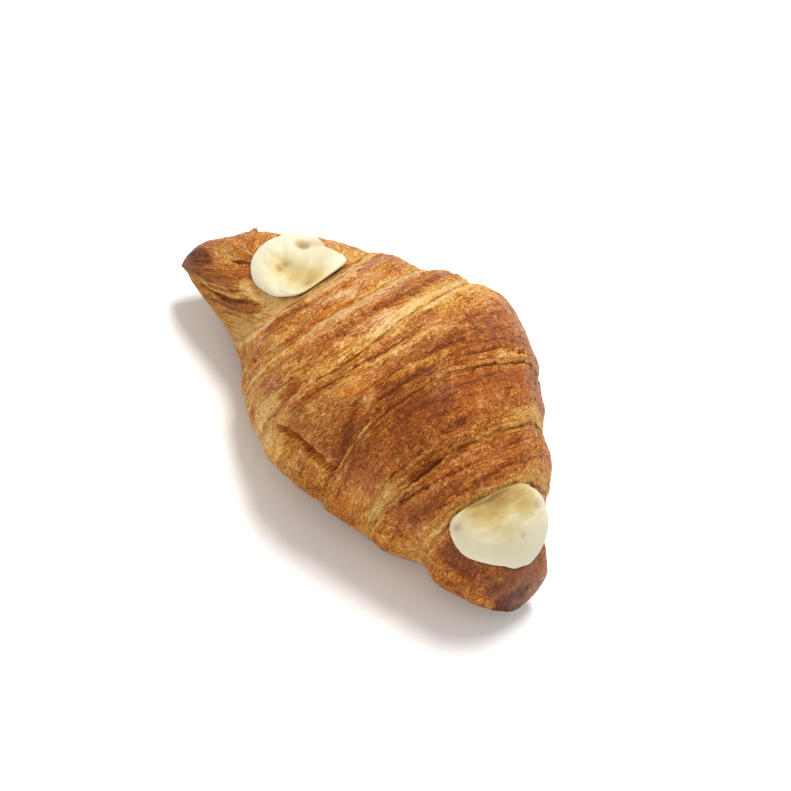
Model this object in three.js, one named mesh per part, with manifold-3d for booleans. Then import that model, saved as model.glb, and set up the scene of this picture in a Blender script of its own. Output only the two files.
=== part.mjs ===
// A filled croissant lying on its flat base: one rolled and baked pastry body, and a dollop of cream
// piped into each end.  Millimetres.  +X runs to the near tip, +Y to the outer side of the crescent,
// +Z is up.  u runs along the roll from -1 at the far tip to +1 at the near tip.  An angle runs round
// the roll from 0 on the outer side, over the crest at a quarter turn, to the belly at a half turn.
import * as THREE from "three";
import Module from "manifold-3d";

// Overall size
const HALF_LENGTH = 75;
const HALF_WIDTH = 45.5;
const HEIGHT = 65;

// How the half width falls from the middle of the roll to its two tips
const WIDTH_TAPER = { peak: -0.05, far: 1.48, near: 1.4, farTip: 0.11, nearTip: 0.22 };
// How the height falls in the same way
const HEIGHT_TAPER = { peak: 0.18, far: 1.57, near: 1.75, farTip: 0.32, nearTip: 0.35 };
const TIP_BLUNTNESS = 14;

// The crescent: a shallow bow.  The far horn turns further in, and the near horn runs straighter and
// shorter.  The crest of each horn leans to the inner side.
const BOW = 10.5;
const FAR_HORN = { from: 0.45, turn: 15, reach: 4 };
const NEAR_HORN = { from: 0.25, turn: -6.5, reach: -3.6 };
const HORN_LEAN = 3.7;

// How far each tip rises off the table, and how far the belly is pressed flat
const FAR_LIFT = 14;
const NEAR_LIFT = 6.5;
const BASE_PRESS = 1.0;

// The section: share of the height above the widest line, and how square its curves are
const CROWN_SHARE = 0.58;
const CROWN_POWER = 0.95;
const BASE_POWER = 0.6;

// Places where the roll is fuller or slimmer than its even taper: u, angle, spread along u, spread in
// degrees round the roll, and the rise
const FORMS = [
  [-0.99, 205, 0.04, 45, -1.8],
  [-0.9, 60, 0.07, 40, -1],
  [-0.62, 40, 0.08, 35, 1],
  [-0.5, 186, 0.08, 30, 2.4],
  [-0.3, 50, 0.03, 40, -1.2],
  [-0.17, 194, 0.08, 26, -1.4],
  [-0.12, 38, 0.2, 38, 2.8],
  [0.12, 184, 0.1, 22, 1.9],
  [0.4, 188, 0.08, 25, -2.4],
  [0.43, 18, 0.06, 25, -1],
  [0.62, 15, 0.08, 25, 0.9],
  [0.64, 199, 0.08, 28, -5.4],
  [0.86, 190, 0.06, 25, -1.2],
  [0.87, 22, 0.06, 30, -1],
  [0.97, 350, 0.055, 45, 5],
];

// The outer edges of the wraps, from the far horn to the near horn: u where each one passes some
// angles in degrees, how deep its step is, how wide the slope of the step is, which way it faces, and
// how the step fades round the roll where that differs from STEP_FADE
const WRAP_EDGES = [
  {
    line: [[0, -0.56], [45, -0.5], [80, -0.47], [98, -0.463], [118, -0.48], [149, -0.58], [186, -0.7],
      [225, -0.79], [270, -0.83], [315, -0.72]],
    step: 2.6, face: 1.8, faces: -1,
  },
  {
    line: [[0, -0.34], [45, -0.315], [80, -0.285], [105, -0.283], [132, -0.31], [156, -0.355],
      [180, -0.4], [225, -0.46], [270, -0.47], [315, -0.42]],
    step: 2.4, face: 2.2, faces: -1,
  },
  {
    line: [[0, -0.21], [30, -0.15], [60, -0.115], [90, -0.078], [105, -0.045], [118, -0.02],
      [128, -0.025], [138, -0.055], [150, -0.085], [165, -0.105], [185, -0.14], [225, -0.25],
      [270, -0.3], [315, -0.27]],
    step: 2.2, face: 2.4, faces: -1,
    fade: [[0, 1], [130, 1], [150, 0.8], [170, 0], [225, 0], [300, 0.4]],
  },
  {
    line: [[0, 0.24], [60, 0.25], [75, 0.256], [90, 0.243], [120, 0.228], [137, 0.238], [154, 0.258],
      [170, 0.268], [200, 0.28], [270, 0.28]],
    step: 1.4, face: 1.6, faces: 1,
    fade: [[0, 0.9], [60, 1.1], [110, 0.9], [130, 0.45], [165, 0.5], [185, 0.25], [300, 0.25]],
  },
  {
    line: [[0, 0.44], [30, 0.46], [60, 0.472], [90, 0.478], [120, 0.476], [150, 0.466], [180, 0.45],
      [225, 0.42], [270, 0.4], [315, 0.41]],
    step: 2.6, face: 3.6, faces: 1,
  },
  {
    line: [[0, 0.68], [45, 0.7], [75, 0.7], [92, 0.692], [110, 0.69], [122, 0.684], [132, 0.676],
      [150, 0.68], [170, 0.672], [185, 0.655], [210, 0.63], [270, 0.61], [315, 0.65]],
    step: 2.2, face: 1.6, faces: 1,
  },
];
// Smoothing of the lines above in degrees, how far and how suddenly a wrap rounds down at its shoulder,
// and the share of the relief left on the underside
const LINE_SOFTNESS = 7;
const SHOULDER_ROUND = 0.35;
const SHOULDER_POWER = 8;
const UNDERSIDE_RELIEF = 0.3;

// The steps are full on top and fade round the belly and the underside
const STEP_FADE = [[0, 1], [150, 1], [185, 0.7], [300, 0.5]];

// The last wrap ends in a tongue low on the belly side, deepest toward the near end of the wrap, then
// the layer below it comes level again
const TONGUE_STEP = 3.2;
const TONGUE_END = [163, 168];
const TONGUE_LEVEL = [205, 320];
const TONGUE_SPREAD = [0, 0.45];

// The cream dollops: where the middle of each one sits, how far it reaches in some directions (0 is
// along the roll to the near tip, 90 is round it to the belly), how far it stands up and sinks in, and
// the wrap edge it is tucked under
const FAR_CREAM = {
  u: -0.632, angle: 92, rise: 3.4, sink: 7, edge: 0,
  outline: [[0, 17], [25, 16], [70, 15.5], [100, 18], [120, 20.5], [145, 17], [160, 15], [185, 13.5],
    [215, 13.5], [240, 15.5], [257, 14], [268, 10.5], [293, 8], [320, 9.5], [337, 13], [348, 17]],
};
const NEAR_CREAM = {
  u: 0.8, angle: 93, rise: 3.8, sink: 7, edge: 5,
  outline: [[0, 14], [35, 14.5], [60, 17], [85, 20], [120, 19.5], [140, 18.5], [180, 13], [205, 10],
    [228, 9.5], [250, 11.5], [275, 15], [300, 20.5], [325, 17], [345, 14.5]],
};
// Smoothing of the outlines in degrees, room left round the cream and beside a wrap edge, how sharp a
// corner is where the outline meets an edge, and how full the curve over the top is
const OUTLINE_SOFTNESS = 6;
const CREAM_GAP = 0.3;
const EDGE_GAP = 0.35;
const CORNER_SHARPNESS = 16;
const PILLOW_POWER = 0.7;

// Colour and roughness of the baked crust and of the cream
const CRUST = { color: 0xb8702e, roughness: 0.6 };
const CREAM = { color: 0xf3ecc0, roughness: 0.45 };

// Mesh fineness
const AROUND = 76;
const BAND_ROWS = [0, 0.1, 0.3, 0.55, 0.8, 0.93, 1];
const HORN_ROWS = [0, 0.1, 0.3, 0.5, 0.68, 0.82, 0.92, 0.97, 0.992];
const CREAM_AROUND = 52;
const CREAM_RINGS = 9;
const REACH_PASSES = 6;

const mix = (a, b, t) => a + (b - a) * t;
const clamp = (value, low, high) => Math.min(high, Math.max(low, value));
const degrees = (angle) => (angle * Math.PI) / 180;

function smoothStep(low, high, value) {
  const t = clamp((value - low) / (high - low), 0, 1);
  return t * t * (3 - 2 * t);
}

// The value of a closed line through [degrees, value] knots
function knotValue(knots, degree) {
  const turn = ((degree % 360) + 360) % 360;
  const after = knots.findIndex((knot) => knot[0] > turn);
  const high = after < 0 ? [knots[0][0] + 360, knots[0][1]] : knots[after];
  const low = knots[after < 0 ? knots.length - 1 : after - 1];
  return mix(low[1], high[1], (turn - low[0]) / (high[0] - low[0]));
}

// A smooth closed curve along the same line, as a function of the angle in radians
function closedCurve(knots, softness) {
  const table = Array.from({ length: 360 }, (_, degree) => {
    let sum = 0;
    let weights = 0;
    for (let off = -3 * softness; off <= 3 * softness; off++) {
      const weight = Math.exp(-0.5 * (off / softness) ** 2);
      sum += weight * knotValue(knots, degree + off);
      weights += weight;
    }
    return [degree, sum / weights];
  });
  return (angle) => knotValue(table, THREE.MathUtils.radToDeg(angle));
}

// Share of the full size left at u
function taper(u, shape) {
  const far = u < shape.peak;
  const t = far ? (shape.peak - u) / (1 + shape.peak) : (u - shape.peak) / (1 - shape.peak);
  const power = far ? shape.far : shape.near;
  const tip = far ? shape.farTip : shape.nearTip;
  const blunt = Math.sqrt(Math.max(0, 1 - t ** TIP_BLUNTNESS));
  return tip * blunt + (1 - tip) * Math.max(0, 1 - t ** power);
}

// Middle line of the roll, seen from above
function middleLine(u) {
  const far = Math.max(0, (-u - FAR_HORN.from) / (1 - FAR_HORN.from)) ** 2;
  const near = Math.max(0, (u - NEAR_HORN.from) / (1 - NEAR_HORN.from)) ** 2;
  const x = HALF_LENGTH * u - FAR_HORN.reach * far + NEAR_HORN.reach * near;
  const y = BOW * (1 - u * u) - FAR_HORN.turn * far - NEAR_HORN.turn * near;
  return [x, y];
}

// The upright section at u: its middle, its sideways direction and its sizes
function section(u) {
  const nudge = 1e-3;
  const [x, y] = middleLine(u);
  const [x0, y0] = middleLine(u - nudge);
  const [x1, y1] = middleLine(u + nudge);
  const run = Math.hypot(x1 - x0, y1 - y0);
  const height = HEIGHT * taper(u, HEIGHT_TAPER);
  const lift = u < 0 ? FAR_LIFT * Math.abs(u) ** 3 : NEAR_LIFT * u ** 3;
  return {
    x,
    y,
    sideX: -(y1 - y0) / run,
    sideY: (x1 - x0) / run,
    halfWidth: HALF_WIDTH * taper(u, WIDTH_TAPER),
    height,
    lean: HORN_LEAN * u * u * height / HEIGHT,
    middle: lift - BASE_PRESS + (1 - CROWN_SHARE) * height,
  };
}

// How much fuller the roll is at a place than its even taper
function form(u, angle) {
  let total = 0;
  for (const [formU, formAngle, spreadU, spreadAngle, rise] of FORMS) {
    const turn = ((THREE.MathUtils.radToDeg(angle) - formAngle + 540) % 360) - 180;
    total += rise * Math.exp(-(((u - formU) / spreadU) ** 2) - (turn / spreadAngle) ** 2);
  }
  return total;
}

// Point on the roll at u and angle, moved out from the smooth skin by relief
function skinPoint(u, angle, relief) {
  const cut = section(clamp(u, -1, 1));
  const cosine = Math.cos(angle);
  const sine = Math.sin(angle);
  const side = cut.halfWidth * Math.sign(cosine) * Math.abs(cosine) ** CROWN_POWER;
  const up = sine > 0
    ? CROWN_SHARE * cut.height * sine ** CROWN_POWER
    : -(1 - CROWN_SHARE) * cut.height * Math.abs(sine) ** BASE_POWER;
  const radius = Math.max(1, Math.hypot(side, up));
  const grow = 1 + relief / radius;
  const across = side * grow - cut.lean * sine;
  return new THREE.Vector3(
    cut.x + cut.sideX * across,
    cut.y + cut.sideY * across,
    Math.max(0, cut.middle + up * grow),
  );
}

// Height of a wrap above or below the smooth skin; s runs from the crease it comes out of to its edge
function wrapRelief(s, stepIn, stepOut) {
  const rise = stepIn * (1 / 3 - (1 - s) ** 2);
  return rise - SHOULDER_ROUND * stepOut * s ** SHOULDER_POWER;
}

// The outermost wrap lies on top of the others, with an edge at both ends
function topWrapRelief(s, stepFar, stepNear, angle) {
  const fromMiddle = 2 * s - 1;
  const step = mix(stepFar, stepNear, smoothStep(0, 1, s));
  const dome = step * (1 / 3 - SHOULDER_ROUND * fromMiddle ** SHOULDER_POWER);
  const turn = THREE.MathUtils.radToDeg(angle);
  const ended = smoothStep(...TONGUE_END, turn) * (1 - smoothStep(...TONGUE_LEVEL, turn));
  return dome - TONGUE_STEP * ended * smoothStep(...TONGUE_SPREAD, s);
}

// The relief fades on the underside, which is pressed flat in baking
function reliefShare(angle) {
  return mix(UNDERSIDE_RELIEF, 1, smoothStep(-0.6, 0.1, Math.sin(angle)));
}

// A wrap edge with the far and near sides of its slope and the depth of its step at each angle
function edgeCurves(edge) {
  const line = closedCurve(edge.line, LINE_SOFTNESS);
  const fade = closedCurve(edge.fade ?? STEP_FADE, LINE_SOFTNESS);
  const half = edge.face / 2 / HALF_LENGTH;
  return {
    faces: edge.faces,
    far: (angle) => line(angle) - half,
    near: (angle) => line(angle) + half,
    step: (angle) => edge.step * fade(angle),
  };
}

// The rows of the body, each one a list of points round the roll, from the far tip to the near tip
function bodyRows() {
  const rows = [];
  const angles = Array.from({ length: AROUND }, (_, i) => (2 * Math.PI * i) / AROUND);
  const addRow = (uAt, reliefAt) => {
    rows.push(angles.map((angle) => {
      const u = uAt(angle);
      return skinPoint(u, angle, reliefAt(angle) * reliefShare(angle) + form(u, angle));
    }));
  };
  const edges = WRAP_EDGES.map(edgeCurves);
  const first = edges[0];
  const last = edges[edges.length - 1];
  for (const s of [...HORN_ROWS].reverse()) {
    addRow((angle) => mix(first.far(angle), -1, s), (angle) => wrapRelief(s, first.step(angle), 0));
  }
  for (let i = 0; i + 1 < edges.length; i++) {
    const from = edges[i];
    const to = edges[i + 1];
    for (const s of BAND_ROWS) {
      addRow(
        (angle) => mix(from.near(angle), to.far(angle), s),
        (angle) => {
          if (from.faces > 0) return wrapRelief(s, from.step(angle), to.step(angle));
          if (to.faces < 0) return wrapRelief(1 - s, to.step(angle), from.step(angle));
          return topWrapRelief(s, from.step(angle), to.step(angle), angle);
        },
      );
    }
  }
  for (const s of HORN_ROWS) {
    addRow((angle) => mix(last.near(angle), 1, s), (angle) => wrapRelief(s, last.step(angle), 0));
  }
  return rows;
}

// Closed surface through rows of points, with a pole at each end
function closedSurface(rows, startPole, endPole) {
  const around = rows[0].length;
  const points = [startPole, ...rows.flat(), endPole];
  const faces = [];
  const at = (row, i) => 1 + row * around + (i % around);
  for (let i = 0; i < around; i++) {
    faces.push(0, at(0, i + 1), at(0, i));
    faces.push(points.length - 1, at(rows.length - 1, i), at(rows.length - 1, i + 1));
  }
  for (let row = 0; row + 1 < rows.length; row++) {
    for (let i = 0; i < around; i++) {
      faces.push(at(row, i), at(row, i + 1), at(row + 1, i + 1));
      faces.push(at(row, i), at(row + 1, i + 1), at(row + 1, i));
    }
  }
  return { points, faces };
}

function bodySurface() {
  return closedSurface(bodyRows(), skinPoint(-1, 0, 0), skinPoint(1, 0, 0));
}

// A dollop laid on the roll: rounded on top, with a plug below that sinks into the pastry.  It stops
// short of the wrap edge it is tucked under.  grow makes the slightly larger copy that is hollowed out
// of the pastry.
function creamSurface(cream, grow) {
  const angle0 = degrees(cream.angle);
  const nudge = 0.01;
  const centre = skinPoint(cream.u, angle0, 0);
  const alongScale = skinPoint(cream.u + nudge, angle0, 0).distanceTo(centre) / nudge;
  const aroundScale = skinPoint(cream.u, angle0 + nudge, 0).distanceTo(centre) / nudge;
  const outline = closedCurve(cream.outline, OUTLINE_SOFTNESS);
  const edge = WRAP_EDGES[cream.edge];
  const line = closedCurve(edge.line, LINE_SOFTNESS);
  const standOff = edge.faces * (edge.face / 2 + EDGE_GAP - grow) / HALF_LENGTH;

  // Full reach in one direction: to the free outline, or to the edge if that comes first
  const fullReach = (turn) => {
    const free = outline(turn) + grow;
    let reach = free;
    for (let pass = 0; pass < REACH_PASSES; pass++) {
      const limit = line(angle0 + (reach * Math.sin(turn)) / aroundScale) + standOff;
      const toEdge = ((limit - cream.u) * alongScale) / Math.cos(turn);
      if (toEdge > 0) {
        reach = (free ** -CORNER_SHARPNESS + toEdge ** -CORNER_SHARPNESS) ** (-1 / CORNER_SHARPNESS);
      }
    }
    return reach;
  };
  const columns = Array.from({ length: CREAM_AROUND }, (_, i) => {
    const turn = (2 * Math.PI * i) / CREAM_AROUND;
    const reach = fullReach(turn);
    return { along: reach * Math.cos(turn) / alongScale, around: reach * Math.sin(turn) / aroundScale };
  });
  const rows = [];
  for (let ring = 1; ring <= 2 * CREAM_RINGS - 1; ring++) {
    const tilt = (Math.PI * ring) / (2 * CREAM_RINGS) - Math.PI / 2;
    const share = Math.cos(tilt) ** PILLOW_POWER;
    const out = -Math.sin(tilt) * (tilt < 0 ? cream.rise + grow : cream.sink + grow);
    rows.push(columns.map(({ along, around }) => (
      skinPoint(cream.u + share * along, angle0 + share * around, out)
    )));
  }
  const top = skinPoint(cream.u, angle0, cream.rise + grow);
  const bottom = skinPoint(cream.u, angle0, -cream.sink - grow);
  return closedSurface(rows, top, bottom);
}

function toGeometry(points, faces) {
  const geometry = new THREE.BufferGeometry();
  const numbers = points.flatMap((point) => [point.x, point.y, point.z]);
  geometry.setAttribute("position", new THREE.Float32BufferAttribute(numbers, 3));
  geometry.setIndex(faces);
  geometry.computeVertexNormals();
  return geometry;
}

function toSolid(wasm, { points, faces }) {
  const vertProperties = Float32Array.from(points.flatMap((point) => [point.x, point.y, point.z]));
  const triVerts = Uint32Array.from(faces);
  return new wasm.Manifold(new wasm.Mesh({ numProp: 3, vertProperties, triVerts }));
}

function fromSolid(solid) {
  const mesh = solid.getMesh();
  const points = [];
  for (let i = 0; i < mesh.vertProperties.length; i += mesh.numProp) {
    points.push(new THREE.Vector3(...mesh.vertProperties.slice(i, i + 3)));
  }
  return toGeometry(points, Array.from(mesh.triVerts));
}

function named(name, geometry, look) {
  const material = new THREE.MeshStandardMaterial({ ...look, metalness: 0 });
  const mesh = new THREE.Mesh(geometry, material);
  mesh.name = name;
  return mesh;
}

// Puts the origin under the middle of the croissant, on the face it rests on
function standOnOrigin(group) {
  const box = new THREE.Box3().setFromObject(group);
  const middle = box.getCenter(new THREE.Vector3());
  for (const mesh of group.children) mesh.geometry.translate(-middle.x, -middle.y, -box.min.z);
}

const wasm = await Module();
wasm.setup();

let body = toSolid(wasm, bodySurface());
body = body.subtract(toSolid(wasm, creamSurface(FAR_CREAM, CREAM_GAP)));
body = body.subtract(toSolid(wasm, creamSurface(NEAR_CREAM, CREAM_GAP)));
const farCream = creamSurface(FAR_CREAM, 0);
const nearCream = creamSurface(NEAR_CREAM, 0);

const croissant = new THREE.Group();
croissant.name = "croissant";
croissant.add(named("pastry", fromSolid(body), CRUST));
croissant.add(named("cream_far", toGeometry(farCream.points, farCream.faces), CREAM));
croissant.add(named("cream_near", toGeometry(nearCream.points, nearCream.faces), CREAM));
standOnOrigin(croissant);

export default croissant;
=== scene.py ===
"""A filled croissant: a rolled, laminated pastry with a dollop of cream in each end.

Shape sizes below are in millimetres and become metres when a mesh is made.  u runs along the roll from
-1 at the far tip to +1 at the near tip.  An angle runs round the roll in degrees, from 0 on the outer
side, over the crest at 90, to the belly at 180 and the underside at 270.
"""
import itertools
import math

import bpy
import numpy as np
from mathutils import Matrix, Vector


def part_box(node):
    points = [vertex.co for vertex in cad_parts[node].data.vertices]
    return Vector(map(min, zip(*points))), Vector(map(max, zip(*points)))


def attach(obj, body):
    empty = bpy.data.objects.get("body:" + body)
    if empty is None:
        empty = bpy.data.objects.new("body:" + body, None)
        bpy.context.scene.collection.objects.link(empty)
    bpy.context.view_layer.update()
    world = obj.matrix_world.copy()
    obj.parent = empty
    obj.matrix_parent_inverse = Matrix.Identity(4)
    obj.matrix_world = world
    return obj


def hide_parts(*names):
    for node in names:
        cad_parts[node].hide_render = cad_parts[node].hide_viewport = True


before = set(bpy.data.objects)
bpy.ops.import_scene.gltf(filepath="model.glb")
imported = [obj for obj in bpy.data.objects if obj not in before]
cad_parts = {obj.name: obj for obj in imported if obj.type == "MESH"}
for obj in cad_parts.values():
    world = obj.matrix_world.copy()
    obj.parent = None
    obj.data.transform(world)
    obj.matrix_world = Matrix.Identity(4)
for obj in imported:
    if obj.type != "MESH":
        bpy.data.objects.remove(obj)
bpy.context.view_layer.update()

MM = 0.001

# Overall shape, as in the CAD part
HALF_LENGTH = 75.0
HALF_WIDTH = 45.5
HEIGHT = 65.0
WIDTH_TAPER = dict(peak=-0.05, far=1.48, near=1.4, far_tip=0.11, near_tip=0.22)
HEIGHT_TAPER = dict(peak=0.18, far=1.57, near=1.75, far_tip=0.32, near_tip=0.35)
TIP_BLUNTNESS = 14
BOW = 10.5
FAR_HORN_FROM, FAR_HORN_TURN, FAR_HORN_REACH = 0.45, 15.0, 4.0
NEAR_HORN_FROM, NEAR_HORN_TURN, NEAR_HORN_REACH = 0.25, -6.5, -3.6
HORN_LEAN = 3.7
FAR_LIFT, NEAR_LIFT = 14.0, 6.5
BASE_PRESS = 1.0
CROWN_SHARE = 0.58
CROWN_POWER, BASE_POWER = 0.95, 0.6
SHOULDER_DROP, SHOULDER_POWER = 0.3, 8
TANGENT_STEP = 1e-3

# Places where the roll is fuller or slimmer than its even taper: u, angle, spread along u, spread in
# degrees round the roll, and the rise
FORMS = [
    (-0.99, 205.0, 0.04, 45.0, -1.8),
    (-0.9, 60.0, 0.07, 40.0, -1.0),
    (-0.62, 40.0, 0.08, 35.0, 1.0),
    (-0.5, 186.0, 0.08, 30.0, 2.4),
    (-0.3, 50.0, 0.03, 40.0, -1.2),
    (-0.17, 194.0, 0.08, 26.0, -1.4),
    (-0.12, 38.0, 0.2, 38.0, 2.8),
    (0.12, 184.0, 0.1, 22.0, 1.9),
    (0.4, 188.0, 0.08, 25.0, -2.4),
    (0.43, 18.0, 0.06, 25.0, -1.0),
    (0.62, 15.0, 0.08, 25.0, 0.9),
    (0.64, 199.0, 0.08, 28.0, -5.4),
    (0.86, 190.0, 0.06, 25.0, -1.2),
    (0.87, 22.0, 0.06, 30.0, -1.0),
    (0.97, 350.0, 0.055, 45.0, 5.0),
]

# Outer edges of the wraps from the far horn to the near horn: where each lies as (angle, u), the depth of
# the step, which way it faces along u, and how wide its cut face is and how dark it is baked.  Round the
# roll, as (angle, share): how far its crack gapes, how pale its face is, and how deep and wide the step is
EDGES = [
    dict(line=[(0, -0.56), (45, -0.5), (80, -0.47), (98, -0.463), (118, -0.48), (149, -0.58),
               (186, -0.7), (225, -0.79), (270, -0.83), (315, -0.72)],
         step=2.6, faces=-1, face=1.8,
         gape=[(0, 0.3), (60, 0.5), (110, 0.5), (135, 0.1), (200, 0.0), (300, 0.2)],
         pale=[(0, 0.3), (120, 0.3), (180, 0.4)], tone=0.3,
         depth=[(0, 1.0), (150, 1.0), (200, 0.8), (300, 0.6)]),
    dict(line=[(0, -0.34), (45, -0.315), (80, -0.285), (105, -0.283), (132, -0.31), (156, -0.355),
               (180, -0.4), (225, -0.46), (270, -0.47), (315, -0.42)],
         step=2.4, faces=-1, face=2.2,
         gape=[(0, 0.3), (60, 0.3), (110, 0.3), (150, 0.2), (200, 0.1), (300, 0.2)],
         pale=[(0, 0.4), (90, 0.7), (150, 0.6), (200, 0.3)], tone=0.36,
         depth=[(0, 1.0), (150, 1.0), (200, 0.8), (300, 0.6)]),
    dict(line=[(0, -0.21), (30, -0.15), (60, -0.115), (90, -0.078), (105, -0.045), (118, -0.02),
               (128, -0.025), (138, -0.055), (150, -0.085), (165, -0.105), (185, -0.14), (225, -0.25),
               (270, -0.3), (315, -0.27)],
         step=2.2, faces=-1, face=2.4,
         gape=[(0, 0.3), (50, 0.7), (90, 0.8), (125, 0.9), (160, 0.1), (300, 0.1)],
         pale=[(0, 0.3), (50, 0.8), (130, 0.8), (165, 0.3), (200, 0.2)], tone=0.34,
         depth=[(0, 1.0), (130, 1.0), (150, 0.8), (170, 0.0), (225, 0.0), (300, 0.4)]),
    dict(line=[(0, 0.24), (30, 0.243), (60, 0.25), (75, 0.256), (90, 0.243), (105, 0.236), (120, 0.228),
               (137, 0.238), (154, 0.258), (170, 0.268), (200, 0.28), (270, 0.28)],
         step=1.4, faces=1, face=1.0,
         gape=[(0, 0.3), (50, 0.6), (110, 0.5), (135, 0.0), (200, 0.0), (300, 0.2)],
         pale=[(0, 0.2), (60, 0.4), (90, 0.1), (140, 0.1), (200, 0.0)], tone=0.62,
         depth=[(0, 0.9), (60, 1.1), (110, 0.9), (130, 0.45), (165, 0.5), (185, 0.25), (300, 0.25)]),
    dict(line=[(0, 0.44), (30, 0.46), (60, 0.472), (90, 0.478), (120, 0.476), (150, 0.466), (180, 0.45),
               (225, 0.42), (270, 0.4), (315, 0.41)],
         step=2.6, faces=1, face=5.0,
         gape=[(0, 0.3), (60, 0.4), (150, 0.4), (175, 0.1), (200, 0.0), (300, 0.1)],
         pale=[(0, 0.5), (60, 0.8), (100, 0.5), (150, 0.6), (180, 0.4), (220, 0.2)],
         wide=[(0, 0.6), (60, 1.0), (100, 0.9), (130, 0.62), (160, 0.6), (190, 0.4), (270, 0.3)], tone=0.42,
         depth=[(0, 0.5), (60, 1.0), (150, 1.0), (185, 0.6), (300, 0.5)]),
    dict(line=[(0, 0.68), (45, 0.7), (75, 0.7), (92, 0.692), (110, 0.69), (122, 0.684), (132, 0.676),
               (150, 0.68), (170, 0.672), (185, 0.655), (210, 0.63), (270, 0.61), (315, 0.65)],
         step=2.2, faces=1, face=1.6,
         gape=[(0, 0.3), (60, 0.2), (100, 0.3), (130, 0.2), (145, 0.0), (300, 0.0)],
         pale=[(0, 0.3), (90, 0.5), (150, 0.7), (200, 0.3)], tone=0.4,
         depth=[(0, 1.0), (130, 1.0), (150, 0.7), (185, 0.5), (300, 0.5)]),
]
TONGUE_STEP = 3.2
TONGUE_END = (163.0, 168.0)
TONGUE_LEVEL = (205.0, 320.0)
TONGUE_SPREAD = (0.0, 0.45)

# How deeply each wrap is baked and how translucent it is, from its far side to its near side
BAND_BAKE = [
    [(0.0, 0.8), (0.1, 0.68), (0.35, 0.58), (0.65, 0.48), (1.0, 0.38)],
    [(0.0, 0.6), (0.35, 0.6), (0.6, 0.46), (1.0, 0.42)],
    [(0.0, 0.36), (0.15, 0.48), (0.45, 0.58), (0.7, 0.44), (0.85, 0.28), (1.0, 0.26)],
    [(0.0, 0.34), (0.2, 0.42), (0.4, 0.54), (0.6, 0.64), (0.8, 0.66), (1.0, 0.7)],
    [(0.0, 0.74), (0.3, 0.7), (0.6, 0.62), (0.9, 0.6), (1.0, 0.5)],
    [(0.0, 0.64), (0.15, 0.56), (0.5, 0.62), (0.8, 0.52), (1.0, 0.4)],
    [(0.0, 0.48), (0.12, 0.68), (0.3, 0.72), (0.6, 0.7), (0.85, 0.74), (1.0, 0.84)],
]
BAND_AMBER = [
    [(0.0, 0.1), (0.5, 0.2), (1.0, 0.1)],
    [(0.0, 0.1), (0.6, 0.4), (1.0, 0.5)],
    [(0.0, 0.2), (0.5, 0.1), (1.0, 0.2)],
    [(0.0, 0.2), (0.5, 0.15), (1.0, 0.3)],
    [(0.0, 0.6), (0.5, 0.7), (1.0, 0.4)],
    [(0.0, 0.5), (0.5, 0.7), (1.0, 0.3)],
    [(0.0, 0.5), (0.5, 0.6), (1.0, 0.4)],
]

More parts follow.
